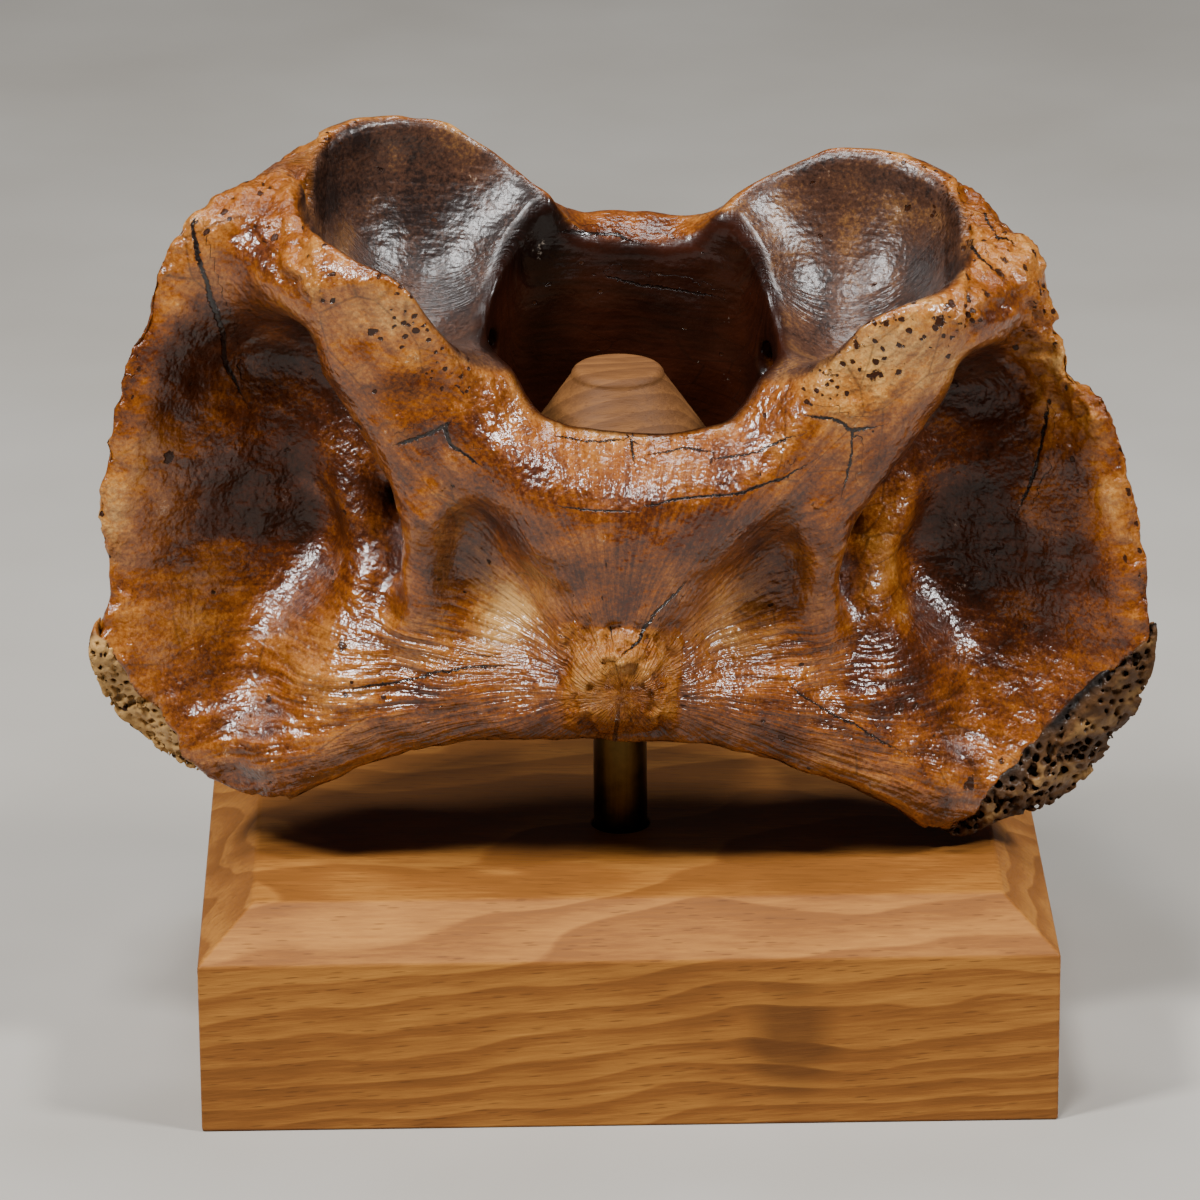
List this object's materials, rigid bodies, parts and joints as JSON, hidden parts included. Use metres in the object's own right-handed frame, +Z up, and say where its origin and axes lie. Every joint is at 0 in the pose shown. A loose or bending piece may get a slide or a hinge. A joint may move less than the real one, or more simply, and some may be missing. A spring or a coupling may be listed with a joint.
{
  "type": "mounted bison atlas vertebra",
  "caption": "Bison atlas vertebra with concave cranial cups and broken wing tips, stood upright on a turned cone and rod over a wooden plinth.",
  "frame": {"origin": "middle of the plinth's underside", "axes": "+Z up, +X along the plinth's long side to the viewer's right, +Y away from the viewer"},
  "size_m": [0.1995, 0.108, 0.1762],
  "materials": {
    "varnished_bone": "old bone, stained brown and clear varnished",
    "oiled_wood": "satin oiled hardwood",
    "aged_brass": "dull turned brass",
    "turned_wood": "bare turned hardwood"
  },
  "bodies": {
    "root": {"atlas": "varnished_bone", "stand_base": "oiled_wood", "stand_rod": "aged_brass", "stand_cone": "turned_wood"}
  },
  "joints": []
}
